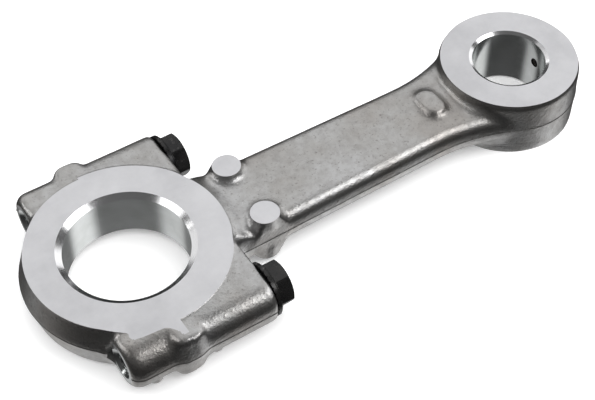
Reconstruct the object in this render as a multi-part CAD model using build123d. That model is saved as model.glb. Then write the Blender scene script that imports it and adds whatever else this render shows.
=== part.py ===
from build123d import *
import os
from math import cos, radians, sin, sqrt, tan

# Connecting rod of a small piston compressor: a die-cast aluminium rod with a
# split big end that runs straight on the crankpin.  Two flange bolts pass
# through the rod half from the shank side and thread into the cap.
#
# Frame: the origin is the centre of the big-end bore at mid thickness, +Z is
# the bore axis, +X points to the small end, and +Y completes the frame.
# The casting dies part on the plane z = 0, so every cast wall leans in from
# there, and the cap parts from the rod on the plane x = 0.  Sizes are in mm.

# ---- Driving dimensions -------------------------------------------------

CENTRE_DISTANCE = 142.0        # big-end bore axis to small-end bore axis

# Big end
CRANK_BORE = 38.0              # bore on the crankpin, diameter
CRANK_CHAMFER_WIDTH = 1.9      # chamfer at both mouths of the bore, on the face
CRANK_CHAMFER_DEPTH = 1.35     # the same chamfer, down the bore
BIG_END_THICKNESS = 16.6       # across the two machined faces
BIG_RING_WALL = 12.0           # machined ring on the rod half, bore to edge
CAP_RING_WALL = 11.3           # the same ring on the cap, bore to edge
CAP_DRAFT = 15.0               # lean of the cap's outer wall, degrees
CAST_STEP = 0.4                # cast top of the rod half below its machined ring
RING_EDGE_SLOPE = 45.0         # lean of the step's wall, degrees

# Bolt bosses, one on each side of the big end
BOLT_WALL = 7.0                # metal between the crank bore and a bolt hole
CAP_BOSS_RADIUS = 9.0          # bolt axis to the outer wall of the cap's boss
CAP_BOSS_PROUD = 0.02          # cast top of the cap's boss above the milled face
CAP_BOSS_ROUND_SHARE = 0.997   # round of the cap's boss, as a share of its half height
ROD_BOSS_REACH = 9.2           # bolt axis to the outer wall of the rod's boss
ROD_BOSS_ROUND_SHARE = 0.886   # round of the rod's boss, as a share of its half height
BOSS_LENGTH_ROD = 28.2         # split plane to the bolt seat
BOSS_LENGTH_CAP = 19.2         # split plane to the open end of the thread
BOSS_NOSE_LENGTH = 4.4         # rounded end of the cap's boss, along the bolt
BOSS_NOSE_DEPTH = 3.1          # the same rounding, across the bolt
BOSS_SEAT_ROUND = 1.2          # round at the seat end of the rod's bosses
GUSSET_LENGTH = 3.3            # cast corner past the end of the cap's boss, along the bolt
GUSSET_INSET = 6.4             # the same corner, in from the bolt's axis
GUSSET_NOSE_INSET = 2.2        # where the corner's wall meets the boss's end
GUSSET_DRAFT = 17.0            # lean of the corner's wall, degrees

# Raised band round each boss at the split
BAND_HEIGHT = 10.4             # from the bolt axis to the band's outer wall
BAND_DRAFT = 10.0              # lean of the band's outer wall, degrees
BAND_CAP_FOOT = 6.1            # foot of the band on the cap, from the split
BAND_CAP_TOP = 3.1             # crest of the band on the cap, from the split
BAND_ROD_FOOT = 5.2            # foot of the band on the rod
BAND_ROD_TOP = 1.8             # crest of the band on the rod
BAND_ROUND = 0.9               # round on the band's crest

# Cap bolts, M8 with a flanged hexagon head
BOLT_DIAMETER = 8.0
BOLT_HOLE_CLEARANCE = 0.2      # radial, in the rod's through hole
THREAD_CLEARANCE = 0.05        # radial, plain stand-in for the thread in the cap
THREAD_ENGAGEMENT = 15.4       # bolt tip past the split plane
HOLE_MOUTH_CHAMFER = 1.0       # at the open end of the cap's thread
BOLT_TIP_CHAMFER = 0.9
HEX_ACROSS_FLATS = 13.0
HEX_HEIGHT = 4.4
HEX_CROWN_ANGLE = 30.0         # chamfer on the hexagon's end, degrees
HEX_CROWN_INSET = 0.2          # flat of the hexagon's end, in from its flats
BOLT_FLANGE_DIAMETER = 15.8
BOLT_FLANGE_EDGE = 0.3         # cylindrical edge of the flange
BOLT_FLANGE_RISE = 0.5         # cone of the flange, up to the hexagon

# Serrated lock washers under the bolt heads
WASHER_DIAMETER = 17.2
WASHER_THICKNESS = 1.5
WASHER_BORE_CLEARANCE = 0.2    # radial, round the bolt's shank
WASHER_TEETH = 28
WASHER_TOOTH_DEPTH = 0.35
WASHER_TOOTH_REACH = 1.8       # length of a tooth in from the rim
WASHER_CROWN = 0.4             # chamfer round the washer's upper edge

# Locating sleeves round the bolts at the split
SLEEVE_WALL = 1.1
SLEEVE_LENGTH = 9.0
SLEEVE_PRESS_LENGTH = 4.5      # length held in the rod half
SLEEVE_BOLT_CLEARANCE = 0.3    # radial, bolt to sleeve
SLEEVE_SLIP_CLEARANCE = 0.03   # radial, sleeve to cap
SLEEVE_END_GAP = 0.5           # room past the sleeve's end in the cap
SLEEVE_EDGE = 0.3              # chamfer on the sleeve's ends

# Small end
PIN_BORE = 24.0                # bore on the piston pin, diameter
PIN_CHAMFER_WIDTH = 1.1
PIN_CHAMFER_DEPTH = 0.7
SMALL_END_THICKNESS = 20.4
SMALL_RING_WALL = 11.2         # bore to the outer wall, at the parting plane
SMALL_RING_DRAFT = 1.0         # lean of the ring's outer wall, degrees
SMALL_RING_TOP_EDGE = 0.75     # round-over of the wall at the top face
SMALL_RING_BOTTOM_EDGE = 0.2   # the same at the bottom face
OIL_HOLE_DIAMETER = 3.2        # drilled along +X through the end of the small end
OIL_HOLE_HEIGHT = 1.8          # above the parting plane

# Shank
SHANK_THICKNESS = 11.5         # across the flat cast sides
SHANK_WIDTH_BIG = 31.2         # at the parting plane, where it leaves the big end
SHANK_WIDTH_SMALL = 28.8       # at the parting plane, before it flares
SHANK_DRAFT = 6.0              # lean of the shank's walls, degrees
SHANK_EDGE_ROUND = 4.2         # round along the shank's long edges
FLARE_START = 38.0             # where the flare begins, back from the small-end axis
FLARE_MEET = 65.0              # where it meets the ring, degrees from the shank's centreline
NECK_SLOPE = 30.0              # ramp from the big end down to the shank, degrees
RING_FOOT_ROUND = 2.2          # round where the shank meets the small-end ring

# Clamping pads cast on the shank
PAD_DISTANCE = 40.8            # big-end axis to the round pads
PAD_SPACING = 22.4             # between the two round pads
PAD_DIAMETER = 8.9             # machined top
PAD_DRAFT = 26.0               # lean of the pads' walls, degrees
PAD_SIDE_DRAFT = 1.0           # lean where the shank's side cuts a pad off, degrees
OVAL_PAD_SETBACK = 31.7        # back from the small-end axis
OVAL_PAD_WIDTH = 6.2           # cast top, along the rod
OVAL_PAD_LENGTH = 10.6         # cast top, across the rod
OVAL_PAD_RISE = 2.2            # above the shank
OVAL_PAD_DRAFT = 38.0          # lean of its walls, degrees
OVAL_PAD_ROUND = 0.7

# Casting marks
EJECTOR_DIAMETER = 5.0         # round ejector marks under each boss
EJECTOR_RISE = 0.8
EJECTOR_INSET = 4.2            # marks' axis out from the bolt's axis
EJECTOR_CAP = 11.0             # mark on the cap, from the split
EJECTOR_ROD = 9.0              # mark on the rod, from the split

# Working allowances
CUT_REACH = 1.0                # how far a cutter runs past the face it opens in
NEAR = 0.02                    # how close a point is taken to lie on a surface

# ---- Sizes worked out from the driving dimensions -----------------------

crank_r = CRANK_BORE / 2
pin_r = PIN_BORE / 2
half_big = BIG_END_THICKNESS / 2
half_small = SMALL_END_THICKNESS / 2
half_shank = SHANK_THICKNESS / 2
bolt_r = BOLT_DIAMETER / 2
rod_hole_r = bolt_r + BOLT_HOLE_CLEARANCE
cap_hole_r = bolt_r + THREAD_CLEARANCE
bolt_y = crank_r + BOLT_WALL + rod_hole_r
rod_ring_r = crank_r + BIG_RING_WALL
cap_ring_r = crank_r + CAP_RING_WALL
cap_parting_r = cap_ring_r + half_big * tan(radians(CAP_DRAFT))
cap_boss_top = half_big + CAP_BOSS_PROUD
rod_cast_top = half_big - CAST_STEP
rod_boss_y = bolt_y + ROD_BOSS_REACH
rod_boss_round = ROD_BOSS_ROUND_SHARE * rod_cast_top
small_ring_r = pin_r + SMALL_RING_WALL
sleeve_inner_r = bolt_r + SLEEVE_BOLT_CLEARANCE
sleeve_outer_r = sleeve_inner_r + SLEEVE_WALL
head_seat_x = BOSS_LENGTH_ROD + WASHER_THICKNESS


# ---- Small helpers --------------------------------------------------------

def drafted(outline, height, draft):
    """An outline on the parting plane drawn up to a height, its walls leaning in by the draft."""
    solid = extrude(outline, height, taper=draft)
    if solid.bounding_box().max.Z < height / 2:
        solid = mirror(solid, about=Plane.XY)
    return solid


def mirrored(half):
    """The upper half of a drafted shape joined to its mirror image below the parting plane."""
    return half + mirror(half, about=Plane.XY)


def turned_on_x(profile_points, y):
    """A solid of revolution about a bolt's axis; the points are (along X, radius)."""
    outline = make_face(Plane.XZ * Polyline(*profile_points, close=True))
    return Pos(0, y, 0) * revolve(outline, Axis.X)


def x_cylinder(radius, start, end, y):
    """A cylinder along X between two stations, on a bolt's axis."""
    return Pos((start + end) / 2, y, 0) * Rot(0, 90, 0) * Cylinder(radius, end - start)


def bore_cutter(x, radius, half_height, chamfer_width, chamfer_depth):
    """A bore along Z with a chamfer at both mouths, made as a solid to cut with."""
    reach = half_height + CUT_REACH
    flare = chamfer_width / chamfer_depth
    wide = radius + chamfer_width + flare * CUT_REACH
    lip = half_height - chamfer_depth
    points = [(0, -reach), (wide, -reach), (radius, -lip), (radius, lip), (wide, reach), (0, reach)]
    outline = make_face(Plane.XZ * Polyline(*points, close=True))
    return Pos(x, 0, 0) * revolve(outline, Axis.Z)


# ---- Rod casting ----------------------------------------------------------

def shank_outline():
    """Plan of the shank at the parting plane, from inside the big end to inside the small end."""
    meet = radians(FLARE_MEET)
    start = (crank_r, SHANK_WIDTH_BIG / 2)
    flare = (CENTRE_DISTANCE - FLARE_START, SHANK_WIDTH_SMALL / 2)
    shoulder = (CENTRE_DISTANCE - small_ring_r * cos(meet), small_ring_r * sin(meet))
    inside = (CENTRE_DISTANCE, pin_r)
    lean = (flare[0] - start[0], flare[1] - start[1])
    sweep = Spline(flare, shoulder, tangents=[lean, (sin(meet), cos(meet))])
    upper = Curve() + [Line(start, flare), sweep, Line(shoulder, inside)]
    lower = mirror(upper, about=Plane.XZ)
    tip = Line(inside, (inside[0], -inside[1]))
    root = Line(start, (start[0], -start[1]))
    return make_face(Curve() + [upper, lower, tip, root])


def rounded_shank(height):
    """The upper half of the shank, drafted, with its long edges rounded."""
    prism = drafted(shank_outline(), height, SHANK_DRAFT)
    top = prism.faces().sort_by(Axis.Z)[-1]
    long_edges = [edge for edge in top.edges() if abs(edge.center().Y) > NEAR]
    return fillet(long_edges, SHANK_EDGE_ROUND)


def shank_half():
    """Shank with the neck that ramps down to it from the big end."""
    ramp_top_r = rod_ring_r + CAST_STEP
    ramp_foot_r = ramp_top_r + rod_cast_top / tan(radians(NECK_SLOPE))
    ramp = Cone(ramp_foot_r, ramp_top_r, rod_cast_top, align=(Align.CENTER, Align.CENTER, Align.MIN))
    neck = rounded_shank(rod_cast_top) & ramp
    return rounded_shank(half_shank) + neck


def round_pads():
    """Two machined clamping pads whose outer walls run into the sides of the shank."""
    top_r = PAD_DIAMETER / 2
    foot_r = top_r + half_big * tan(radians(PAD_DRAFT))
    pad = Cone(foot_r, top_r, half_big, align=(Align.CENTER, Align.CENTER, Align.MIN))
    pads = [Pos(PAD_DISTANCE, side * PAD_SPACING / 2, 0) * pad for side in (1, -1)]
    return (pads[0] + pads[1]) & drafted(shank_outline(), half_big, PAD_SIDE_DRAFT)


def oval_pad():
    """The cast pad across the shank near the small end."""
    height = half_shank + OVAL_PAD_RISE
    rise = OVAL_PAD_RISE + OVAL_PAD_ROUND
    spread = 2 * rise * tan(radians(OVAL_PAD_DRAFT))
    foot = Rot(0, 0, 90) * SlotOverall(OVAL_PAD_LENGTH + spread, OVAL_PAD_WIDTH + spread)
    pad = drafted(foot, rise, OVAL_PAD_DRAFT)
    top = pad.faces().sort_by(Axis.Z)[-1]
    pad = fillet(top.edges(), OVAL_PAD_ROUND)
    return Pos(CENTRE_DISTANCE - OVAL_PAD_SETBACK, 0, height - rise) * pad


def small_end_half(edge):
    """Half of the ring round the piston pin, its wall eased over at the machined face."""
    wall_r = small_ring_r - half_small * tan(radians(SMALL_RING_DRAFT))
    points = [
        (0, 0),
        (small_ring_r, 0),
        (wall_r, half_small - edge),
        (wall_r - edge, half_small),
        (0, half_small),
    ]
    outline = make_face(Plane.XZ * Polyline(*points, close=True))
    return Pos(CENTRE_DISTANCE, 0, 0) * revolve(outline, Axis.Z)


def rod_bosses():
    """The cast block of the rod half: a flat web that runs out into a rounded boss on each side."""
    section = Plane.YZ * RectangleRounded(2 * rod_boss_y, 2 * rod_cast_top, rod_boss_round)
    block = extrude(section, BOSS_LENGTH_ROD)
    seat = block.faces().sort_by(Axis.X)[-1]
    return fillet([edge for edge in seat.edges() if abs(edge.center().Y) > bolt_y], BOSS_SEAT_ROUND)


def rod_ring_half():
    """The machined ring that stands a little above the cast top, only where the casting backs it."""
    slope = CAST_STEP / tan(radians(RING_EDGE_SLOPE))
    ring = Cone(rod_ring_r + slope, rod_ring_r, CAST_STEP, align=(Align.CENTER, Align.CENTER, Align.MIN))
    flat = 2 * (rod_boss_y - rod_boss_round)
    web = Box(BOSS_LENGTH_ROD, flat, half_big, align=(Align.MIN, Align.CENTER, Align.MIN))
    backing = web + drafted(shank_outline(), half_big, PAD_SIDE_DRAFT)
    return Pos(0, 0, rod_cast_top) * ring & backing


def bands_half(top):
    """The raised bands round both bosses, across the split, up to a cast top."""
    boss_edge = bolt_y + CAP_BOSS_RADIUS
    crest = bolt_y + BAND_HEIGHT
    points = [
        (-BAND_CAP_FOOT, crank_r + BOLT_WALL),
        (-BAND_CAP_FOOT, boss_edge),
        (-BAND_CAP_TOP, crest),
        (BAND_ROD_TOP, crest),
        (BAND_ROD_FOOT, boss_edge),
        (BAND_ROD_FOOT, crank_r + BOLT_WALL),
    ]
    outline = make_face(Polyline(*points, close=True))
    band = drafted(outline, top, BAND_DRAFT)
    outer_walls = [edge for edge in band.edges() if edge.center().Y > boss_edge]
    ridges = [edge for edge in outer_walls if abs(edge.tangent_at(0).Z) > cos(radians(2 * BAND_DRAFT))]
    band = fillet(ridges, BAND_ROUND)
    return band + mirror(band, about=Plane.XZ)


def beyond_split(direction):
    """Everything on one side of the split plane: +1 is the rod's side and -1 the cap's."""
    reach = 4 * CENTRE_DISTANCE
    slab = Box(reach, reach, reach, align=(Align.MIN, Align.CENTER, Align.CENTER))
    return slab if direction > 0 else mirror(slab, about=Plane.YZ)


def above_parting():
    """Everything above the parting plane."""
    reach = 4 * CENTRE_DISTANCE
    return Box(reach, reach, reach, align=(Align.CENTER, Align.CENTER, Align.MIN))


def ejector_mark(x, side):
    """A round ejector mark on the lower outer side of a boss."""
    y = bolt_y + EJECTOR_INSET
    depth = sqrt(CAP_BOSS_RADIUS**2 - EJECTOR_INSET**2)
    mark = Cylinder(EJECTOR_DIAMETER / 2, depth, align=(Align.CENTER, Align.CENTER, Align.MIN))
    return Pos(x, side * y, -depth - EJECTOR_RISE) * mark


def near_ring_foot(point):
    """True where the shank runs into the small-end ring's outer wall."""
    radius = sqrt((point.X - CENTRE_DISTANCE) ** 2 + point.Y**2)
    wall_r = small_ring_r - point.Z * tan(radians(SMALL_RING_DRAFT))
    return abs(radius - wall_r) < NEAR and point.Z < half_shank + NEAR


def near_oval_foot(point):
    """True round the foot of the oval pad."""
    inside_x = abs(point.X - CENTRE_DISTANCE + OVAL_PAD_SETBACK) < OVAL_PAD_WIDTH
    return inside_x and abs(point.Y) < OVAL_PAD_LENGTH and abs(point.Z - half_shank) < NEAR


def blend(casting, near, radius):
    """Round the inside corners that lie wholly near a feature; edges on the parting plane stay."""
    corners = []
    for edge in casting.edges():
        points = [edge.position_at(share) for share in (0, 0.5, 1)]
        if all(near(point) for point in points) and max(point.Z for point in points) > NEAR:
            corners.append(edge)
    return fillet(corners, radius)


def rod_casting_half(ring_edge):
    """One half of the rod before machining, as one die makes it."""
    half = shank_half() + small_end_half(ring_edge)
    half = blend(half, near_ring_foot, RING_FOOT_ROUND)
    half = blend(half + oval_pad(), near_oval_foot, OVAL_PAD_ROUND)
    half = half + round_pads() + (rod_bosses() & above_parting())
    return half + bands_half(rod_cast_top) + rod_ring_half()


def rod_casting():
    """The rod before machining."""
    top = rod_casting_half(SMALL_RING_TOP_EDGE)
    bottom = mirror(rod_casting_half(SMALL_RING_BOTTOM_EDGE), about=Plane.XY)
    return (top + bottom) & beyond_split(1)


def rod_body():
    """The machined rod: both bores, the bolt holes with their sleeve recesses, and the oil hole."""
    rod = rod_casting()
    for side in (1, -1):
        rod = rod + ejector_mark(EJECTOR_ROD, side)
        rod = rod - x_cylinder(rod_hole_r, -CUT_REACH, BOSS_LENGTH_ROD + CUT_REACH, side * bolt_y)
        rod = rod - x_cylinder(sleeve_outer_r, -CUT_REACH, SLEEVE_PRESS_LENGTH, side * bolt_y)
    rod = rod - bore_cutter(0, crank_r, half_big, CRANK_CHAMFER_WIDTH, CRANK_CHAMFER_DEPTH)
    rod = rod - bore_cutter(CENTRE_DISTANCE, pin_r, half_small, PIN_CHAMFER_WIDTH, PIN_CHAMFER_DEPTH)
    oil_end = CENTRE_DISTANCE + small_ring_r + CUT_REACH
    oil_hole = x_cylinder(OIL_HOLE_DIAMETER / 2, CENTRE_DISTANCE, oil_end, 0)
    return rod - Pos(0, 0, OIL_HOLE_HEIGHT) * oil_hole


# ---- Cap casting ----------------------------------------------------------

def cap_boss(side):
    """Bolt boss of the cap: a bar a little flatter than round, with a rounded nose."""
    nose_x = -(BOSS_LENGTH_CAP - BOSS_NOSE_LENGTH)
    end_r = CAP_BOSS_RADIUS - BOSS_NOSE_DEPTH
    centre = (nose_x, end_r)
    nose = EllipticalCenterArc(centre, BOSS_NOSE_LENGTH, BOSS_NOSE_DEPTH, start_angle=90, arc_size=90)
    points = [
        (-BOSS_LENGTH_CAP, end_r),
        (-BOSS_LENGTH_CAP, 0),
        (0, 0),
        (0, CAP_BOSS_RADIUS),
        (nose_x, CAP_BOSS_RADIUS),
    ]
    outline = Plane.XZ * make_face(Curve() + [nose, Polyline(*points)])
    section_round = CAP_BOSS_ROUND_SHARE * cap_boss_top
    section = Plane.YZ * RectangleRounded(2 * CAP_BOSS_RADIUS, 2 * cap_boss_top, section_round)
    bar = extrude(section, -BOSS_LENGTH_CAP)
    return Pos(0, side * bolt_y, 0) * (revolve(outline, Axis.X) & bar)


def cap_corner(side):
    """The drafted corner between the cap's ring and the end of a boss."""
    end = -BOSS_LENGTH_CAP
    nose = end + BOSS_NOSE_LENGTH
    points = [
        (end - GUSSET_LENGTH, bolt_y - GUSSET_INSET),
        (end, bolt_y - GUSSET_NOSE_INSET),
        (nose, bolt_y),
        (-BAND_CAP_FOOT, bolt_y),
        (-BAND_CAP_FOOT, crank_r),
        (end, crank_r - BOLT_WALL),
    ]
    corner = drafted(make_face(Polyline(*points, close=True)), half_big, GUSSET_DRAFT)
    return corner if side > 0 else mirror(corner, about=Plane.XZ)


def cap_casting():
    """The cap before machining."""
    ring = Cone(cap_parting_r, cap_ring_r, half_big, align=(Align.CENTER, Align.CENTER, Align.MIN))
    web_length = BOSS_LENGTH_CAP - BOSS_NOSE_LENGTH
    web = Box(web_length, 2 * bolt_y, half_big, align=(Align.MAX, Align.CENTER, Align.MIN))
    casting = mirrored(ring + web + cap_corner(1) + cap_corner(-1) + bands_half(half_big))
    casting = casting + cap_boss(1) + cap_boss(-1)
    faces = Box(4 * crank_r, 4 * bolt_y, BIG_END_THICKNESS)
    return casting & beyond_split(-1) & faces


def big_end_cap():
    """The machined cap: half of the crank bore, and two threaded holes open at the far end."""
    cap = cap_casting()
    recess = SLEEVE_LENGTH - SLEEVE_PRESS_LENGTH + SLEEVE_END_GAP
    for side in (1, -1):
        cap = cap + ejector_mark(-EJECTOR_CAP, side)
        cap = cap - x_cylinder(cap_hole_r, -BOSS_LENGTH_CAP - CUT_REACH, CUT_REACH, side * bolt_y)
        cap = cap - x_cylinder(sleeve_outer_r + SLEEVE_SLIP_CLEARANCE, -recess, CUT_REACH, side * bolt_y)
        mouth_r = cap_hole_r + HOLE_MOUTH_CHAMFER
        outside = -BOSS_LENGTH_CAP - CUT_REACH
        mouth = [(outside, 0), (outside, mouth_r + CUT_REACH), (mouth_r - BOSS_LENGTH_CAP, 0)]
        cap = cap - turned_on_x(mouth, side * bolt_y)
    return cap - bore_cutter(0, crank_r, half_big, CRANK_CHAMFER_WIDTH, CRANK_CHAMFER_DEPTH)


# ---- Bolts, washers and sleeves --------------------------------------------

def cap_bolt(side):
    """A flanged hexagon bolt, its head on the shank side and its tip in the cap."""
    tip = -THREAD_ENGAGEMENT
    flange_r = BOLT_FLANGE_DIAMETER / 2
    edge = head_seat_x + BOLT_FLANGE_EDGE
    crown = edge + BOLT_FLANGE_RISE
    end = crown + HEX_HEIGHT
    hex_corner_r = HEX_ACROSS_FLATS / sqrt(3)
    shank = [
        (tip, 0),
        (tip, bolt_r - BOLT_TIP_CHAMFER),
        (tip + BOLT_TIP_CHAMFER, bolt_r),
        (head_seat_x, bolt_r),
        (head_seat_x, flange_r),
        (edge, flange_r),
        (crown, HEX_ACROSS_FLATS / 2),
        (crown, 0),
    ]
    head_length = end - edge
    prism = extrude(Plane.YZ * RegularPolygon(hex_corner_r, 6), head_length)
    prism = Pos(edge, side * bolt_y, 0) * prism
    slope = tan(radians(HEX_CROWN_ANGLE))
    flat_r = HEX_ACROSS_FLATS / 2 - HEX_CROWN_INSET
    reach = hex_corner_r + CUT_REACH
    brim = end - (reach - flat_r) * slope
    crown_cone = [(edge, 0), (edge, reach), (brim, reach), (end, flat_r), (end, 0)]
    return turned_on_x(shank, side * bolt_y) + (prism & turned_on_x(crown_cone, side * bolt_y))


def lock_washer(side):
    """A lock washer with a row of teeth that bite into the bolt seat."""
    start = BOSS_LENGTH_ROD
    inner_r = bolt_r + WASHER_BORE_CLEARANCE
    outer_r = WASHER_DIAMETER / 2
    end = start + WASHER_THICKNESS
    round_start = end - WASHER_CROWN
    ring = [
        (start, inner_r),
        (start, outer_r),
        (round_start, outer_r),
        (end, outer_r - WASHER_CROWN),
        (end, inner_r),
    ]
    washer = turned_on_x(ring, side * bolt_y)
    width = WASHER_TOOTH_DEPTH * sqrt(2)
    notch = Rot(0, 45, 0) * Box(width, WASHER_TOOTH_REACH * 2, width)
    notch = Pos(start, outer_r, 0) * notch
    turns = [Rot(number * 360 / WASHER_TEETH, 0, 0) for number in range(WASHER_TEETH)]
    return washer - [Pos(0, side * bolt_y, 0) * turn * notch for turn in turns]


def locating_sleeve(side):
    """A sleeve round the bolt that lines the cap up with the rod."""
    start = SLEEVE_PRESS_LENGTH - SLEEVE_LENGTH
    end = SLEEVE_PRESS_LENGTH
    edge = SLEEVE_EDGE
    wall = [
        (start, sleeve_inner_r),
        (start, sleeve_outer_r - edge),
        (start + edge, sleeve_outer_r),
        (end - edge, sleeve_outer_r),
        (end, sleeve_outer_r - edge),
        (end, sleeve_inner_r),
    ]
    return turned_on_x(wall, side * bolt_y)


# ---- Files ------------------------------------------------------------------

def write_parts():
    """Write one STEP file for each piece."""
    os.makedirs("parts", exist_ok=True)
    pieces = {"rod_body": rod_body(), "big_end_cap": big_end_cap()}
    for name, side in (("left", 1), ("right", -1)):
        pieces["cap_bolt_" + name] = cap_bolt(side)
        pieces["lock_washer_" + name] = lock_washer(side)
        pieces["locating_sleeve_" + name] = locating_sleeve(side)
    for name, piece in pieces.items():
        export_step(piece, "parts/" + name + ".step")


write_parts()
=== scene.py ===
import math

import bpy
import bmesh
import numpy as np
import openvdb as vdb
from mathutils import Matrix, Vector


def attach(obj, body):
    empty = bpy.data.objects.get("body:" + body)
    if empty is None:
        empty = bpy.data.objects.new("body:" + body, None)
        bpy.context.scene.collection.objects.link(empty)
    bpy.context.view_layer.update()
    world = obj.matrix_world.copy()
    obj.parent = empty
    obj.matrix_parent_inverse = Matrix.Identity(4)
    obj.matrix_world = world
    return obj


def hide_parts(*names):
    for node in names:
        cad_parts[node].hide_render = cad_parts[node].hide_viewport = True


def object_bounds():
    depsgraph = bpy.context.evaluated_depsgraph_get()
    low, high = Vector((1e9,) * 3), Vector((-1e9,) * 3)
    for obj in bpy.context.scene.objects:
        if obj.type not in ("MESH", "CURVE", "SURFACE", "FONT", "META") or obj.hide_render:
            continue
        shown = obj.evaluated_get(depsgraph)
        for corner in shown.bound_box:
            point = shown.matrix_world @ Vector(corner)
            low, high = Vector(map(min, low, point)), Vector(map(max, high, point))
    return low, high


# Looks of a die-cast connecting rod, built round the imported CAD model.  Metres,
# in the CAD frame: big-end bore on the origin, +X to the small end, +Z the bores.
# The two castings are re-skinned from their CAD solids: each solid is filled out
# past its machined faces, softened as a casting is, and then machined again.
# The bolts are drawn again with their screw thread, worn hexagon and dished head.

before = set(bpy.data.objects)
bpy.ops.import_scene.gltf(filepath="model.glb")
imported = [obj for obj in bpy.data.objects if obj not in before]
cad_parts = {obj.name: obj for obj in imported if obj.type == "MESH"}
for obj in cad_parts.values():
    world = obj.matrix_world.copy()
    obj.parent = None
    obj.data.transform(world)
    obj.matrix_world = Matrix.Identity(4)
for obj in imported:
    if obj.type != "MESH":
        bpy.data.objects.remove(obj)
cad_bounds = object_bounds()
frame_low, frame_high = cad_bounds

MM = 0.001

# ---- Sizes that repeat the CAD model ----------------------------------------

CENTRES = 142.0 * MM
CRANK_R = 19.0 * MM
PIN_R = 12.0 * MM
CRANK_CHAMFER = (1.9 * MM, 1.35 * MM)
PIN_CHAMFER = (1.1 * MM, 0.7 * MM)
HALF_BIG = 8.3 * MM
HALF_SMALL = 10.2 * MM
SMALL_RING_R = 23.2 * MM
ROD_FACE_R = 31.0 * MM
CAP_FACE_R = 30.3 * MM
SMALL_FACE_R = 22.27 * MM
PAD_PLACE = (40.8 * MM, 11.2 * MM)
PAD_R = 4.45 * MM
BOLT_Y = 30.2 * MM
BOLT_R = 4.0 * MM
ROD_HOLE_R = 4.2 * MM
CAP_HOLE_R = 4.05 * MM
SEAT_X = 28.2 * MM
NOSE_X = -19.2 * MM
NOSE_CUT = 0.2 * MM            # depth of the spot face on the cap's nose
NOSE_FACE_R = 6.4 * MM
NOSE_CLEAR = 1.5 * MM          # how far past the nose its cutters run, clear of the corner
MOUTH_R = 5.25 * MM            # widest part of the chamfer at the thread's open end
MOUTH_CHAMFER = 1 * MM
PITCH = 1.25 * MM
THREAD_STEP = PITCH / 10
THREAD_FROM = NOSE_X - 1 * MM  # first station of both threads, so that their helices agree
THREAD_SEGMENTS = 72
THREAD_DEPTH = 0.62 * MM
HEAD_X = 29.7 * MM
TIP_X = -15.4 * MM
OIL_R = 1.6 * MM
OIL_Z = 1.8 * MM
FAR_TOP = 7.9 * MM             # cast height of the cap's far side, just under its machined ring
PIP_PLACE = (-2.5 * MM, -37.9 * MM, 6.9 * MM)
PIP_R = 1.5 * MM               # small round pip at the foot of the near band
HEX_FLATS = 13.0 * MM
HEX_CORNER_WEAR = 0.12 * MM
HEX_END = 34.9 * MM
HEX_END_R = 6.3 * MM
HEX_SLOPE = math.tan(math.radians(30))
HEAD_DISH = (4.4 * MM, 3.8 * MM, 0.3 * MM)    # rim radius, floor radius and depth
FLANGE_R = 7.9 * MM
FLANGE_EDGE_X = 30.0 * MM
FLANGE_TOP_X = 30.5 * MM
THREAD_END_X = 1.0 * MM
THREAD_CREST_SHARE = 0.125     # flat of the thread, as a share of half a pitch
THREAD_FLANK_SHARE = 0.70      # its flank, as the same share
RECESS_ROD = (5.4 * MM, 4.5 * MM)
RECESS_CAP = (5.43 * MM, -5.0 * MM)
SIDES = (("left", 1), ("right", -1))

# ---- Small helpers -----------------------------------------------------------


def new_object(name, verts, faces):
    mesh = bpy.data.meshes.new(name)
    mesh.from_pydata([tuple(v) for v in verts], [], [tuple(f) for f in faces])
    mesh.update()
    obj = bpy.data.objects.new(name, mesh)
    bpy.context.scene.collection.objects.link(obj)
    return obj


def smoothed(obj, angle):
    """Smooth shading with creases sharper than the angle kept."""
    obj.data.shade_smooth()
    obj.data.set_sharp_from_angle(angle=math.radians(angle))
    return obj


def turned(name, stations, centre, axis, segments=128, radius=None):
    """A closed solid of revolution; stations are (along the axis, radius).
    radius(along, turn, r) may vary the radius round the axis."""
    turns = np.arange(segments) * (2 * math.pi / segments)
    rings = []
    for along, r in stations:
        around = np.full(segments, r) if radius is None else radius(along, turns, r)
        flat = np.stack([around * np.cos(turns), around * np.sin(turns)], 1)
        ring = np.empty((segments, 3))
        if axis == "Z":
            ring[:, 0:2], ring[:, 2] = flat, along
        else:
            ring[:, 1:3], ring[:, 0] = flat, along
        rings.append(ring + np.array(centre))
    verts = np.concatenate(rings)
    faces = []
    here = np.arange(segments)
    after = (here + 1) % segments
    for step in range(len(stations) - 1):
        low, high = step * segments, (step + 1) * segments
        faces += np.stack([low + here, low + after, high + after, high + here], 1).tolist()
    faces.append(here[::-1].tolist())
    faces.append(((len(stations) - 1) * segments + here).tolist())
    return new_object(name, verts, faces)


def box_solid(name, low, high):
    corners = [[(low, high)[i][0], (low, high)[j][1], (low, high)[k][2]]
               for i in (0, 1) for j in (0, 1) for k in (0, 1)]
    faces = [(0, 1, 3, 2), (4, 6, 7, 5), (0, 4, 5, 1), (2, 3, 7, 6), (0, 2, 6, 4), (1, 5, 7, 3)]
    return new_object(name, corners, faces)


def cut(obj, cutters):
    """Machine the cutters' shapes out of the object."""
    for number, cutter in enumerate(cutters):
        step = obj.modifiers.new("cut%d" % number, "BOOLEAN")
        step.operation, step.solver, step.object = "DIFFERENCE", "MANIFOLD", cutter
    graph = bpy.context.evaluated_depsgraph_get()
    done = bpy.data.meshes.new_from_object(obj.evaluated_get(graph))
    done.materials.clear()
    obj.modifiers.clear()
    obj.data = done
    for cutter in cutters:
        bpy.data.objects.remove(cutter)
    return obj


# ---- Casting skins -------------------------------------------------------------

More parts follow.
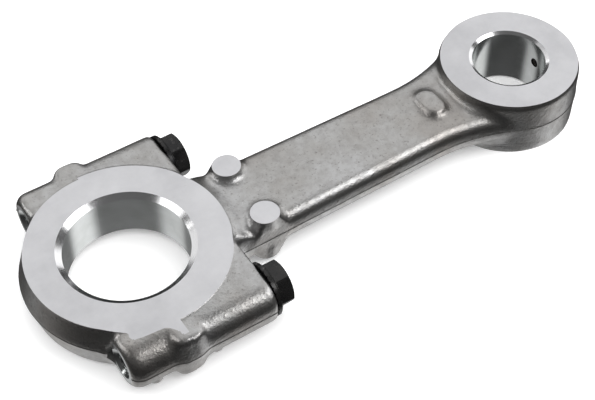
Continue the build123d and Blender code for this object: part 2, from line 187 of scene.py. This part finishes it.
VOXEL = 0.45 * MM
BAND = 8                      # level set half width, in voxels
SOFT_EDGE = 1.2               # softening of every cast edge, in voxels
SOFT_FOOT = 3.6               # softening of the inside corners, in voxels
BAND_SOFT = 1.3               # further softening of the bands round the bosses, in voxels
LAST_SOFT = 0.7               # softening of everything at the end, in voxels
STOCK = 3.0 * MM              # metal left on the machined faces until they are cut
WAVE_SCALE = 6.0              # size of the skin's unevenness, in voxels
WAVE_HEIGHT = 0.018 * MM
FOOT_FROM, FOOT_BLEND = 31.4 * MM, 2.2 * MM   # inside corners are filled outside this radius
BAND_FROM, BAND_BLEND = 32.5 * MM, 2 * MM     # the bands lie outside this Y
BAND_REACH = 7.5 * MM                         # and within this X of the split
ROD_BOLT_PLUG_R = 7.0 * MM
CAP_BOLT_PLUG_R = 5.8 * MM
OIL_PLUG_R = 3.2 * MM
PAD_PLUG_FOOT = 4 * MM
LOWER_FACE_GAIN = 0.55 * MM   # the small end's lower face is this much larger in radius
FLAT_NEAR = 0.01 * MM


def welded(node):
    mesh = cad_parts[node].data
    mesh.calc_loop_triangles()
    co = np.empty(len(mesh.vertices) * 3, np.float32)
    mesh.vertices.foreach_get("co", co)
    tris = np.empty(len(mesh.loop_triangles) * 3, np.int32)
    mesh.loop_triangles.foreach_get("vertices", tris)
    verts, index = np.unique(np.round(co.reshape(-1, 3).astype(float), 7), axis=0, return_inverse=True)
    tris = index.reshape(-1)[tris].reshape(-1, 3)
    distinct = (tris[:, 0] != tris[:, 1]) & (tris[:, 1] != tris[:, 2]) & (tris[:, 2] != tris[:, 0])
    return verts, tris[distinct]


def add_stock(verts, tris, direction, level):
    """Draw the flat faces at one level out along their own direction, by the stock."""
    direction = np.array(direction, float)
    normals = np.cross(verts[tris[:, 1]] - verts[tris[:, 0]], verts[tris[:, 2]] - verts[tris[:, 0]])
    normals /= np.maximum(np.linalg.norm(normals, axis=1), 1e-20)[:, None]
    heights = (verts @ direction)[tris]
    chosen = (normals @ direction > 0.99) & (np.abs(heights - level).max(1) < FLAT_NEAR)
    count = len(verts)
    edges = np.concatenate([tris[chosen][:, [0, 1]], tris[chosen][:, [1, 2]], tris[chosen][:, [2, 0]]])
    code = edges[:, 0] * count + edges[:, 1]
    rim = edges[~np.isin(code, edges[:, 1] * count + edges[:, 0])]
    a, b = rim[:, 0], rim[:, 1]
    tris = tris.copy()
    tris[chosen] += count
    walls = np.concatenate([np.stack([a, b, b + count], 1), np.stack([a, b + count, a + count], 1)])
    return np.concatenate([verts, verts + direction * STOCK]), np.concatenate([tris, walls])


def blurred(field, sigma):
    reach = int(math.ceil(3 * sigma))
    weights = np.exp(-0.5 * (np.arange(-reach, reach + 1) / sigma) ** 2)
    weights = (weights / weights.sum()).astype(np.float32)
    for axis in range(3):
        padding = [(reach, reach) if i == axis else (0, 0) for i in range(3)]
        padded = np.pad(field, padding, mode="edge")
        field = np.zeros_like(field)
        for step, weight in enumerate(weights):
            window = [slice(None)] * 3
            window[axis] = slice(step, step + field.shape[axis])
            field += weight * padded[tuple(window)]
    return field


def sampled(field, origin, points):
    """Trilinear value of a field at points."""
    at = (points - origin) / VOXEL
    base = np.clip(np.floor(at).astype(int), 0, np.array(field.shape) - 2)
    part = at - base
    total = np.zeros(len(points))
    for corner in range(8):
        step = np.array([corner >> 2 & 1, corner >> 1 & 1, corner & 1])
        share = np.prod(np.where(step, part, 1 - part), axis=1)
        where = base + step
        total += share * field[where[:, 0], where[:, 1], where[:, 2]]
    return total


def gradient(field, origin, points):
    parts = []
    for axis in range(3):
        step = np.zeros(3)
        step[axis] = 0.5 * VOXEL
        parts.append(sampled(field, origin, points + step) - sampled(field, origin, points - step))
    return np.stack(parts, 1) / VOXEL


def rod_plugs(x, y, z):
    """Filled bores of the rod, and stock over its rings and pads, while its skin is softened."""
    big = np.maximum(np.hypot(x, y) - ROD_FACE_R, np.abs(z) - HALF_BIG - STOCK)
    big = np.maximum(big, -x - STOCK)
    face_r = np.where(z > 0, SMALL_FACE_R, SMALL_FACE_R + LOWER_FACE_GAIN)
    small = np.maximum(np.hypot(x - CENTRES, y) - face_r, np.abs(z) - HALF_SMALL - STOCK)
    pads = np.hypot(x - PAD_PLACE[0], np.abs(y) - PAD_PLACE[1]) - PAD_R
    pads = np.maximum(pads, np.abs(z) - HALF_BIG - STOCK)
    pads = np.maximum(pads, PAD_PLUG_FOOT - np.abs(z))
    oil = np.maximum(np.hypot(y, z - OIL_Z) - OIL_PLUG_R, np.hypot(x - CENTRES, y) - SMALL_RING_R)
    oil = np.maximum(oil, CENTRES - x)
    bolts = np.maximum(np.hypot(np.abs(y) - BOLT_Y, z) - ROD_BOLT_PLUG_R, x - SEAT_X)
    bolts = np.maximum(bolts, -x - STOCK)
    return (big, small, pads, oil, bolts)


def cap_limits(field, x, y, z):
    """The far side of the cap is cast a little lower than its machined ring."""
    far = (y > 0) & (np.hypot(x, y) > CAP_FACE_R)
    return np.where(far, np.maximum(field, np.abs(z) - FAR_TOP), field)


def cap_plugs(x, y, z):
    """The same for the cap, with the pip beside its near band."""
    big = np.maximum(np.hypot(x, y) - CAP_FACE_R, np.abs(z) - HALF_BIG - STOCK)
    big = np.maximum(big, x - STOCK)
    bolts = np.maximum(np.hypot(np.abs(y) - BOLT_Y, z) - CAP_BOLT_PLUG_R, NOSE_X - x)
    bolts = np.maximum(bolts, x - STOCK)
    px, py, pz = PIP_PLACE
    pip = np.sqrt((x - px) ** 2 + (y - py) ** 2 + (z - pz) ** 2) - PIP_R
    return (big, bolts, pip)


LINE_HALF = 0.22 * MM         # half width of the parting line's flash
LINE_HEIGHT = 0.16 * MM
FACE_ROOM = 1 * MM            # how close to a machined face the line stops
ON_PLANE = 1e-7


def part_lined(obj, field, origin):
    """Raise the thin line of flash that the dies leave round a casting at mid height."""
    shape = bmesh.new()
    shape.from_mesh(obj.data)
    for level in (-LINE_HALF, 0, LINE_HALF):
        whole = shape.verts[:] + shape.edges[:] + shape.faces[:]
        bmesh.ops.bisect_plane(shape, geom=whole, plane_co=(0, 0, level), plane_no=(0, 0, 1),
                               dist=ON_PLANE)
    crest = [vert for vert in shape.verts if abs(vert.co.z) < ON_PLANE]
    places = np.array([vert.co for vert in crest])
    outward = gradient(field, origin, places)
    outward[:, 2] = 0
    outward /= np.maximum(np.linalg.norm(outward, axis=1), 1e-9)[:, None]
    on_seat = (outward[:, 0] > 0.9) & (np.abs(places[:, 0] - SEAT_X) < FACE_ROOM)
    stock = (np.abs(outward[:, 0]) > 0.9) & (np.abs(places[:, 0]) < STOCK + FACE_ROOM)
    height = np.where(on_seat | stock, 0, LINE_HEIGHT)
    low, high = np.array(frame_low), np.array(frame_high)
    moved = np.clip(places + outward * height[:, None], low - STOCK * np.array([1, 0, 0]), high)
    for vert, place in zip(crest, moved):
        vert.co = place
    shape.to_mesh(obj.data)
    shape.free()
    return obj


def skin(name, node, stock, plugs, seed, limits=None):
    """The casting before machining, as a smooth closed mesh.  stock is (direction, level)."""
    verts, tris = add_stock(*welded(node), *stock)
    scale = vdb.createLinearTransform(voxelSize=VOXEL)
    grid = vdb.FloatGrid.createLevelSetFromPolygons(
        verts.astype(np.float32), triangles=tris.astype(np.uint32), transform=scale, halfWidth=float(BAND))
    low, high = (np.array(corner) for corner in grid.evalActiveVoxelBoundingBox())
    low, high = low - 2, high + 2
    field = np.zeros(tuple(high - low + 1), np.float32)
    grid.copyToArray(field, ijk=tuple(int(v) for v in low))
    origin = low * VOXEL
    x, y, z = (origin[i] + VOXEL * np.arange(field.shape[i], dtype=np.float32) for i in range(3))
    x, y, z = x[:, None, None], y[None, :, None], z[None, None, :]
    if limits:
        field = limits(field, x, y, z)
    for plug in plugs(x, y, z):
        field = np.minimum(field, np.maximum(plug, -BAND * VOXEL)).astype(np.float32)
    soft = blurred(field, SOFT_EDGE)
    round_feet = np.minimum(soft, blurred(field, SOFT_FOOT))
    share = np.clip((np.hypot(x, y) - FOOT_FROM) / FOOT_BLEND, 0, 1).astype(np.float32)
    soft = soft + share * (round_feet - soft)
    across = np.clip((np.abs(y) - BAND_FROM) / BAND_BLEND, 0, 1)
    crest = across * np.clip((BAND_REACH - np.abs(x)) / BAND_BLEND, 0, 1)
    soft = blurred(soft + crest.astype(np.float32) * (blurred(soft, BAND_SOFT) - soft), LAST_SOFT)
    waves = np.random.default_rng(seed).standard_normal(field.shape, dtype=np.float32)
    waves = blurred(waves, WAVE_SCALE)
    soft += waves * np.float32(WAVE_HEIGHT / waves.std())
    smooth_grid = vdb.FloatGrid(float(BAND * VOXEL))
    smooth_grid.transform = scale
    smooth_grid.copyFromArray(soft, ijk=tuple(int(v) for v in low))
    points, quads = smooth_grid.convertToQuads(isovalue=0.0)
    points = points.astype(float)
    for _ in range(3):
        slope = gradient(soft, origin, points)
        length = np.maximum((slope ** 2).sum(1), 0.05)
        points -= slope * (sampled(soft, origin, points) / length)[:, None]
    return part_lined(new_object(name, points, quads.tolist()), soft, origin)


# ---- Machining ------------------------------------------------------------------

OVER = 6 * MM                 # how far a cutter runs past the metal
WIDE = 60 * MM                # half the width of the facing cutters
PAST_SPLIT = 20 * MM
TALL = 30 * MM
BIG_END_X = (-20 * MM, 60 * MM)
SMALL_END_X = (100 * MM, 180 * MM)
CAP_X = (-60 * MM, 20 * MM)
OIL_EDGE = 0.5 * MM           # countersink of the oil hole
NEAR = 0.02 * MM
CUT_NEAR = 0.0015 * MM
WALL_NEAR = 0.05 * MM
HOLE_REACH = 5.5 * MM         # round a bolt's axis, everything up to the sleeve's recess
HOLE_END = 0.1 * MM


def bore_cutter(name, radius, half_height, chamfer, x):
    width, depth = chamfer
    lip, reach = half_height - depth, half_height + OVER
    wide = radius + width * (1 + OVER / depth)
    stations = [(-reach, wide), (-lip, radius), (lip, radius), (reach, wide)]
    return turned(name, stations, (x, 0, 0), "Z", segments=256)


def thread_radius(along, turns, r, depth):
    """Radius of a right-handed screw thread round the X axis; depth is its full height."""
    phase = np.mod(along / PITCH - turns / (2 * math.pi), 1.0)
    ramp = np.clip((np.abs(phase - 0.5) * 2 - THREAD_CREST_SHARE) / THREAD_FLANK_SHARE, 0, 1)
    return r - depth * (1 - ramp)


def face_cutters(bottom, top, x0, x1):
    above = box_solid("above", (x0, -WIDE, top), (x1, WIDE, top + 4 * OVER))
    below = box_solid("below", (x0, -WIDE, bottom - 4 * OVER), (x1, WIDE, bottom))
    return [above, below]


def rod_cutters():
    cutters = face_cutters(-HALF_BIG, HALF_BIG, *BIG_END_X)
    cutters += face_cutters(-HALF_SMALL, HALF_SMALL, *SMALL_END_X)
    cutters.append(box_solid("split", (-PAST_SPLIT, -WIDE, -TALL), (0, WIDE, TALL)))
    cutters.append(bore_cutter("crank", CRANK_R, HALF_BIG, CRANK_CHAMFER, 0))
    cutters.append(bore_cutter("pin", PIN_R, HALF_SMALL, PIN_CHAMFER, CENTRES))
    recess_r, recess_x = RECESS_ROD
    for name, side in SIDES:
        stations = [(-OVER, recess_r), (recess_x, recess_r)]
        stations += [(recess_x, ROD_HOLE_R), (SEAT_X + OVER, ROD_HOLE_R)]
        cutters.append(turned("hole_" + name, stations, (0, side * BOLT_Y, 0), "X"))
    rim = CENTRES + SMALL_RING_R
    stations = [(CENTRES, OIL_R), (rim - OIL_EDGE, OIL_R), (rim + OVER, OIL_R + OVER)]
    cutters.append(turned("oil", stations, (0, 0, OIL_Z), "X", segments=48))
    return cutters


def cap_cutters():
    cutters = face_cutters(-HALF_BIG, HALF_BIG, *CAP_X)
    cutters.append(box_solid("split", (0, -WIDE, -TALL), (PAST_SPLIT, WIDE, TALL)))
    cutters.append(bore_cutter("crank", CRANK_R, HALF_BIG, CRANK_CHAMFER, 0))
    recess_r, recess_x = RECESS_CAP
    steps = np.arange(THREAD_FROM, recess_x, THREAD_STEP)

    def wall(along, turns, r):
        threaded = np.full(len(turns), r)
        if r < recess_r:
            threaded = thread_radius(along, turns, r, THREAD_DEPTH)
        mouth = min(NOSE_X + CAP_HOLE_R + MOUTH_CHAMFER - along, MOUTH_R)
        return np.maximum(threaded, mouth)

    for name, side in SIDES:
        nose = [(NOSE_X - NOSE_CLEAR, NOSE_FACE_R), (NOSE_X + NOSE_CUT, NOSE_FACE_R)]
        cutters.append(turned("nose_" + name, nose, (0, side * BOLT_Y, 0), "X"))
        stations = [(NOSE_X - NOSE_CLEAR, CAP_HOLE_R)] + [(x, CAP_HOLE_R) for x in steps]
        stations += [(recess_x, CAP_HOLE_R), (recess_x + 1e-6, recess_r), (OVER, recess_r)]
        axis = (0, side * BOLT_Y, 0)
        cutters.append(turned("hole_" + name, stations, axis, "X", THREAD_SEGMENTS, wall))
    return cutters


def near_value(values, target, room=NEAR):
    return np.abs(values - target) < room


def mark_machined(obj, half, x0, axis_x, radius, chamfer):
    """Give the machined faces past x0 their own slots: 1 milled, 2 bored, 3 chamfered."""
    mesh = obj.data
    count = len(mesh.polygons)
    centre, normal = np.empty(count * 3), np.empty(count * 3)
    mesh.polygons.foreach_get("center", centre)
    mesh.polygons.foreach_get("normal", normal)
    centre, normal = centre.reshape(-1, 3), normal.reshape(-1, 3)
    slots = np.zeros(count, np.int32)
    mesh.polygons.foreach_get("material_index", slots)
    here = centre[:, 0] > x0
    flat = near_value(np.abs(centre[:, 2]), half, CUT_NEAR) & (np.abs(normal[:, 2]) > 0.99)
    split = near_value(centre[:, 0], 0) & (np.abs(normal[:, 0]) > 0.99)
    reach = np.hypot(centre[:, 0] - axis_x, centre[:, 1])
    wall = (reach < radius + WALL_NEAR) & (np.abs(normal[:, 2]) < 0.1)
    mouth = (reach < radius + chamfer[0] + WALL_NEAR) & ~flat
    mouth &= np.abs(centre[:, 2]) > half - chamfer[1]
    hole = np.hypot(np.abs(centre[:, 1]) - BOLT_Y, centre[:, 2]) < HOLE_REACH
    hole &= (centre[:, 0] < SEAT_X - HOLE_END) & (centre[:, 0] > NOSE_X + HOLE_END)
    nose = near_value(centre[:, 0], NOSE_X + NOSE_CUT) & (normal[:, 0] < -0.99)
    for chosen, slot in ((flat | split | nose, 1), (wall, 2), (mouth, 3), (hole, 2)):
        slots[chosen & here] = slot
    mesh.polygons.foreach_set("material_index", slots)


# ---- Materials --------------------------------------------------------------------


class Nodes:
    """A procedural material built on one Principled shader."""

    def __init__(self, name, metallic=1.0):
        self.material = bpy.data.materials.new(name)
        self.material.use_nodes = True
        self.tree = self.material.node_tree
        self.shader = self.tree.nodes["Principled BSDF"]
        self.shader.inputs["Metallic"].default_value = metallic
        self.place = self.tree.nodes.new("ShaderNodeTexCoord").outputs["Object"]

    def link(self, output, target):
        self.tree.links.new(output, target)

    def scaled(self, scale):
        node = self.tree.nodes.new("ShaderNodeMapping")
        node.inputs["Scale"].default_value = scale
        self.link(self.place, node.inputs["Vector"])
        return node.outputs["Vector"]

    def noise(self, scale, detail=4.0, roughness=0.55, stretch=(1, 1, 1), distortion=0.0):
        node = self.tree.nodes.new("ShaderNodeTexNoise")
        node.inputs["Scale"].default_value = scale
        node.inputs["Detail"].default_value = detail
        node.inputs["Roughness"].default_value = roughness
        node.inputs["Distortion"].default_value = distortion
        self.link(self.scaled(stretch), node.inputs["Vector"])
        return node.outputs["Fac"]

    def ramp(self, value, stops):
        node = self.tree.nodes.new("ShaderNodeValToRGB")
        elements = node.color_ramp.elements
        while len(elements) < len(stops):
            elements.new(0.5)
        for element, (at, colour) in zip(elements, stops):
            element.position = at
            element.color = (*colour, 1)
        self.link(value, node.inputs["Fac"])
        return node.outputs["Color"]

    def span(self, value, low, high, to_low, to_high):
        node = self.tree.nodes.new("ShaderNodeMapRange")
        for key, number in zip(("From Min", "From Max", "To Min", "To Max"), (low, high, to_low, to_high)):
            node.inputs[key].default_value = number
        self.link(value, node.inputs["Value"])
        return node.outputs["Result"]

    def mix(self, share, first, second):
        node = self.tree.nodes.new("ShaderNodeMix")
        node.data_type = "RGBA"
        for key, source in ((0, share), (6, first), (7, second)):
            if isinstance(source, (int, float)):
                node.inputs[key].default_value = source
            elif isinstance(source, tuple):
                node.inputs[key].default_value = (*source, 1)
            else:
                self.link(source, node.inputs[key])
        return node.outputs[2]

    def math(self, kind, first, second=0.0):
        node = self.tree.nodes.new("ShaderNodeMath")
        node.operation = kind
        for key, source in ((0, first), (1, second)):
            if isinstance(source, (int, float)):
                node.inputs[key].default_value = source
            else:
                self.link(source, node.inputs[key])
        return node.outputs[0]

    def part(self, axis):
        node = self.tree.nodes.new("ShaderNodeSeparateXYZ")
        self.link(self.place, node.inputs[0])
        return node.outputs[axis]

    def bump(self, heights):
        """Chained bumps from (value, strength, distance)."""
        last = None
        for value, strength, distance in heights:
            node = self.tree.nodes.new("ShaderNodeBump")
            node.inputs["Strength"].default_value = strength
            node.inputs["Distance"].default_value = distance
            self.link(value, node.inputs["Height"])
            if last is not None:
                self.link(last, node.inputs["Normal"])
            last = node.outputs["Normal"]
        self.link(last, self.shader.inputs["Normal"])

    def set(self, key, source):
        if isinstance(source, (int, float)):
            self.shader.inputs[key].default_value = source
        else:
            self.link(source, self.shader.inputs[key])


def cast_material():
    m = Nodes("cast_aluminium")
    patches = m.noise(45, detail=5)
    mottle = m.noise(420, detail=6, roughness=0.65)
    grain = m.noise(1300, detail=3, roughness=0.6)
    tone = m.ramp(patches, [(0.36, (0.45, 0.43, 0.41)), (0.50, (0.51, 0.505, 0.495)),
                            (0.64, (0.57, 0.57, 0.57))])
    tone = m.mix(m.span(mottle, 0.42, 0.68, 0.0, 0.45), tone, (0.36, 0.345, 0.335))
    specks = m.span(grain, 0.60, 0.72, 0.0, 0.65)
    tone = m.mix(specks, tone, (0.17, 0.15, 0.14))
    # painted shade: a dark band painted into the colour along the parting at mid height, standing for the
    # shadow under the flash's step
    parting_shade = m.span(m.math("ABSOLUTE", m.part("Z")), 0.08 * MM, 0.30 * MM, 0.55, 0.0)
    tone = m.mix(parting_shade, tone, (0.13, 0.12, 0.11))
    m.set("Base Color", tone)
    m.set("Roughness", m.span(mottle, 0.3, 0.7, 0.27, 0.42))
    m.bump([(m.noise(700, detail=4), 0.3, 0.04 * MM), (grain, 1.0, 0.13 * MM)])
    return m.material


def milled_material():
    m = Nodes("milled_aluminium")
    smudge = m.noise(60, detail=6, roughness=0.6)
    fine = m.noise(900, detail=4)
    scratch = m.noise(260, detail=5, roughness=0.7, stretch=(1, 9, 1), distortion=0.4)
    scuff = m.noise(300, detail=5, roughness=0.7, stretch=(8, 1, 1), distortion=0.6)
    tone = m.ramp(smudge, [(0.35, (0.66, 0.66, 0.68)), (0.52, (0.73, 0.73, 0.75)),
                           (0.68, (0.78, 0.78, 0.80))])
    marks = m.math("MAXIMUM", m.span(scratch, 0.66, 0.76, 0, 0.4), m.span(scuff, 0.68, 0.78, 0, 0.35))
    tone = m.mix(marks, tone, (0.42, 0.41, 0.41))
    m.set("Base Color", tone)
    m.set("Roughness", m.span(fine, 0.3, 0.7, 0.30, 0.40))
    m.bump([(scratch, 0.06, 0.02 * MM), (fine, 0.10, 0.01 * MM)])
    return m.material


def bored_material(name, low, high, tone_low, tone_high):
    m = Nodes(name)
    rings = m.noise(240, detail=5, roughness=0.7, stretch=(1, 1, 30))
    tint = m.noise(110, detail=3)
    m.set("Base Color", m.ramp(tint, [(0.3, tone_low), (0.7, tone_high)]))
    m.set("Roughness", m.span(rings, 0.3, 0.7, low, high))
    m.bump([(rings, 0.12, 0.01 * MM)])
    return m.material


def black_material(name, light):
    m = Nodes(name, metallic=0.85)
    worn = m.noise(500, detail=6, roughness=0.7)
    stain = m.noise(90, detail=3)
    tone = m.ramp(stain, [(0.35, (0.028, 0.028, 0.029)), (0.7, (0.050, 0.049, 0.048))])
    tone = m.mix(m.span(worn, 0.62, 0.74, 0, light), tone, (0.34, 0.33, 0.32))
    m.set("Base Color", tone)
    m.set("Roughness", m.span(worn, 0.3, 0.7, 0.20, 0.33))
    m.bump([(worn, 0.25, 0.03 * MM)])
    return m.material


def steel_material():
    m = Nodes("bright_steel")
    rings = m.noise(300, detail=4, stretch=(24, 1, 1))
    m.set("Base Color", m.ramp(rings, [(0.3, (0.46, 0.46, 0.47)), (0.7, (0.60, 0.60, 0.61))]))
    m.set("Roughness", m.span(rings, 0.3, 0.7, 0.18, 0.32))
    m.bump([(rings, 0.1, 0.01 * MM)])
    return m.material


# ---- Pieces -------------------------------------------------------------------------

cast = cast_material()
milled = milled_material()
bored = bored_material("bored_aluminium", 0.14, 0.24, (0.62, 0.64, 0.63), (0.74, 0.76, 0.76))
chamfered = bored_material("turned_chamfer", 0.12, 0.20, (0.70, 0.70, 0.71), (0.80, 0.80, 0.81))
black = black_material("black_steel", 0.5)
washer_black = black_material("washer_steel", 0.9)
steel = steel_material()


def finish_casting(obj, name):
    obj.name = name
    smoothed(obj, 32)
    slots = np.empty(len(obj.data.polygons), np.int32)
    obj.data.polygons.foreach_get("material_index", slots)
    obj.data.polygons.foreach_set("use_smooth", slots != 1)
    for material in (cast, milled, bored, chamfered):
        obj.data.materials.append(material)


def make_rod():
    rod = cut(skin("rod_skin", "rod_body", ((-1, 0, 0), 0), rod_plugs, 3), rod_cutters())
    mark_machined(rod, HALF_BIG, -1, 0, CRANK_R, CRANK_CHAMFER)
    mark_machined(rod, HALF_SMALL, 100 * MM, CENTRES, PIN_R, PIN_CHAMFER)
    finish_casting(rod, "rod_casting")
    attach(rod, "rod")
    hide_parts("rod_body")


def make_cap():
    blank = skin("cap_skin", "big_end_cap", ((1, 0, 0), 0), cap_plugs, 5, cap_limits)
    cap = cut(blank, cap_cutters())
    mark_machined(cap, HALF_BIG, -1, 0, CRANK_R, CRANK_CHAMFER)
    finish_casting(cap, "cap_casting")
    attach(cap, "cap")
    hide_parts("big_end_cap")


def bolt_wall(along, turns, r):
    """Radius of the bolt round its axis: screw thread, plain shank, flange or worn hexagon."""
    if along < THREAD_END_X:
        return np.minimum(thread_radius(along, turns, BOLT_R, THREAD_DEPTH), r)
    if along < FLANGE_EDGE_X or along > HEX_END - 1e-7:
        return np.full(len(turns), r)
    sector = math.pi / 3
    prism = HEX_FLATS / 2 / np.cos(np.mod(turns, sector) - sector / 2)
    prism = np.minimum(prism, HEX_FLATS / math.sqrt(3) - HEX_CORNER_WEAR)
    crown = HEX_END_R + (HEX_END - along) / HEX_SLOPE
    return np.maximum(np.minimum(prism, crown), r)


def make_bolt(name, side):
    grid = np.arange(THREAD_FROM, THREAD_END_X, THREAD_STEP)
    plain_r = BOLT_R - 0.05 * MM
    stations = [(TIP_X, 2.9 * MM), (TIP_X + 0.5 * MM, 3.4 * MM)]
    stations += [(x, BOLT_R) for x in grid if x > TIP_X + 0.9 * MM]
    stations += [(THREAD_END_X + 0.6 * MM, BOLT_R - 0.3 * MM), (THREAD_END_X + 1.2 * MM, plain_r)]
    stations += [(HEAD_X - 0.6 * MM, plain_r), (HEAD_X, BOLT_R + 0.1 * MM)]
    stations += [(HEAD_X, FLANGE_R - 0.15 * MM), (HEAD_X + 0.1 * MM, FLANGE_R)]
    stations += [(FLANGE_EDGE_X - 0.08 * MM, FLANGE_R)]
    rise = FLANGE_TOP_X - FLANGE_EDGE_X
    for share in (0.02, 0.25, 0.5, 0.75, 1.0):
        fall = (FLANGE_R - HEX_FLATS / 2) * share ** 0.8
        stations.append((FLANGE_EDGE_X + share * rise, FLANGE_R - 0.06 * MM - fall))
    inner, floor_r, deep = HEAD_DISH
    for x in np.linspace(FLANGE_TOP_X + 0.3 * MM, HEX_END - 1e-6, 22):
        stations.append((x, HEX_FLATS / 4))
    stations += [(HEX_END, inner), (HEX_END, inner - 1e-5), (HEX_END - deep, floor_r)]
    axis = (0, side * BOLT_Y, 0)
    bolt = turned("bolt_body_" + name, stations, axis, "X", THREAD_SEGMENTS, bolt_wall)
    bolt.data.materials.append(black)
    smoothed(bolt, 28)
    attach(bolt, "bolt_" + name)
    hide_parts("cap_bolt_" + name)


def dress_nodes():
    """Bolts in place of their CAD nodes, and materials on the washers and sleeves."""
    for name, side in SIDES:
        make_bolt(name, side)
        dressed = (("lock_washer_", washer_black), ("locating_sleeve_", steel))
        for node, material in dressed:
            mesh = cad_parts[node + name].data
            mesh.materials.clear()
            mesh.materials.append(material)


make_rod()
make_cap()
dress_nodes()

# ---- Floor, light and camera ----------------------------------------------------------


FLOOR_HALF = 6.0
# Height in the surroundings, from straight down at 0 to straight up at 1, and brightness.
WORLD_STOPS = ((0.0, 0.60), (0.085, 0.42), (0.115, 0.20), (0.16, 0.04),
               (0.30, 0.03), (0.50, 0.05), (0.70, 0.09), (1.0, 0.15))
# Pale patches below the horizon: direction, cosine where each fades out, brightness.
WORLD_GLOWS = (((0.547, -0.354, -0.758), 0.90, 0.9), ((-0.547, 0.354, -0.758), 0.90, 0.5))
GLOW_CORE = 0.995
LENS = 85.47
SENSOR = 36
CAMERA_PLACE = (-0.09909, -0.24474, 0.32981)
CAMERA_AIM = (0.3550, 0.5475, -0.7578)
MIDDLE = (60 * MM, 0, 0)


def make_floor():
    corners = [(-FLOOR_HALF, -FLOOR_HALF, -HALF_SMALL), (FLOOR_HALF, -FLOOR_HALF, -HALF_SMALL),
               (FLOOR_HALF, FLOOR_HALF, -HALF_SMALL), (-FLOOR_HALF, FLOOR_HALF, -HALF_SMALL)]
    floor = new_object("floor", corners, [(0, 1, 2, 3)])
    paper = bpy.data.materials.new("paper")
    paper.use_nodes = True
    inputs = paper.node_tree.nodes["Principled BSDF"].inputs
    inputs["Base Color"].default_value = (0.92, 0.92, 0.92, 1)
    inputs["Roughness"].default_value = 0.9
    inputs["Emission Color"].default_value = (1, 1, 1, 1)
    inputs["Emission Strength"].default_value = 0.22
    floor.data.materials.append(paper)
    floor.visible_glossy = False


def area_light(name, place, target, size, radiance, glossy=True):
    """A rectangular light of an even radiance; glossy says whether the metals mirror it."""
    data = bpy.data.lights.new(name, "AREA")
    data.shape, data.size, data.size_y = "RECTANGLE", size[0], size[1]
    data.energy = radiance * math.pi * size[0] * size[1]
    light = bpy.data.objects.new(name, data)
    light.location = place
    light.rotation_euler = (Vector(target) - Vector(place)).to_track_quat("-Z", "Y").to_euler()
    light.visible_glossy = glossy
    bpy.context.scene.collection.objects.link(light)


def make_world():
    """Soft studio surroundings: pale overhead, dark round the horizon, pale again below."""
    world = bpy.data.worlds.new("studio")
    bpy.context.scene.world = world
    world.use_nodes = True
    tree = world.node_tree
    place = tree.nodes.new("ShaderNodeTexCoord")
    split = tree.nodes.new("ShaderNodeSeparateXYZ")
    tree.links.new(place.outputs["Generated"], split.inputs[0])
    span = tree.nodes.new("ShaderNodeMapRange")
    span.inputs["From Min"].default_value = -1
    tree.links.new(split.outputs["Z"], span.inputs["Value"])
    ramp = tree.nodes.new("ShaderNodeValToRGB")
    elements = ramp.color_ramp.elements
    while len(elements) < len(WORLD_STOPS):
        elements.new(0.5)
    for element, (at, level) in zip(elements, WORLD_STOPS):
        element.position = at
        element.color = (level, level, level, 1)
    tree.links.new(span.outputs["Result"], ramp.inputs["Fac"])
    total = ramp.outputs["Color"]
    for direction, edge, level in WORLD_GLOWS:
        toward = tree.nodes.new("ShaderNodeVectorMath")
        toward.operation = "DOT_PRODUCT"
        toward.inputs[1].default_value = Vector(direction).normalized()
        tree.links.new(place.outputs["Generated"], toward.inputs[0])
        glow = tree.nodes.new("ShaderNodeMapRange")
        glow.interpolation_type = "SMOOTHSTEP"
        for key, number in (("From Min", edge), ("From Max", GLOW_CORE), ("To Min", 0), ("To Max", level)):
            glow.inputs[key].default_value = number
        tree.links.new(toward.outputs["Value"], glow.inputs["Value"])
        sum_node = tree.nodes.new("ShaderNodeVectorMath")
        tree.links.new(total, sum_node.inputs[0])
        tree.links.new(glow.outputs["Result"], sum_node.inputs[1])
        total = sum_node.outputs["Vector"]
    tree.links.new(total, tree.nodes["Background"].inputs["Color"])
    tree.nodes["Background"].inputs["Strength"].default_value = 1.0


def make_camera():
    data = bpy.data.cameras.new("camera")
    data.sensor_width = SENSOR
    data.lens = LENS
    data.clip_start = 0.01
    camera = bpy.data.objects.new("camera", data)
    camera.location = CAMERA_PLACE
    camera.rotation_euler = Vector(CAMERA_AIM).to_track_quat("-Z", "Y").to_euler()
    bpy.context.scene.collection.objects.link(camera)
    bpy.context.scene.camera = camera


make_floor()
make_world()
make_camera()


def softbox(name, direction, distance, size, radiance, **kept):
    """An area light in a direction from the middle of the rod, facing it."""
    place = Vector(MIDDLE) + Vector(direction).normalized() * distance
    area_light(name, place, MIDDLE, size, radiance, **kept)


softbox("overhead_back", (0.355, 0.5475, 0.7578), 0.9, (1.3, 0.9), 0.78)
softbox("front_strip", (0.50, -0.46, 0.71), 0.8, (0.62, 0.30), 3.6)
softbox("left_low", (-0.64, 0.26, 0.68), 0.8, (0.36, 0.28), 2.0)
softbox("left_back", (-0.735, 0.56, 0.30), 0.9, (0.4, 0.3), 2.2)
softbox("side_x", (0.953, 0.16, 0.237), 0.9, (0.7, 0.4), 1.3)
softbox("side_y", (-0.243, 0.935, 0.237), 0.9, (0.7, 0.4), 0.9)
softbox("floor_fill", (0.05, -0.2, 1.0), 1.2, (2.2, 2.2), 2.0, glossy=False)
bpy.context.scene.view_settings.view_transform = "Standard"
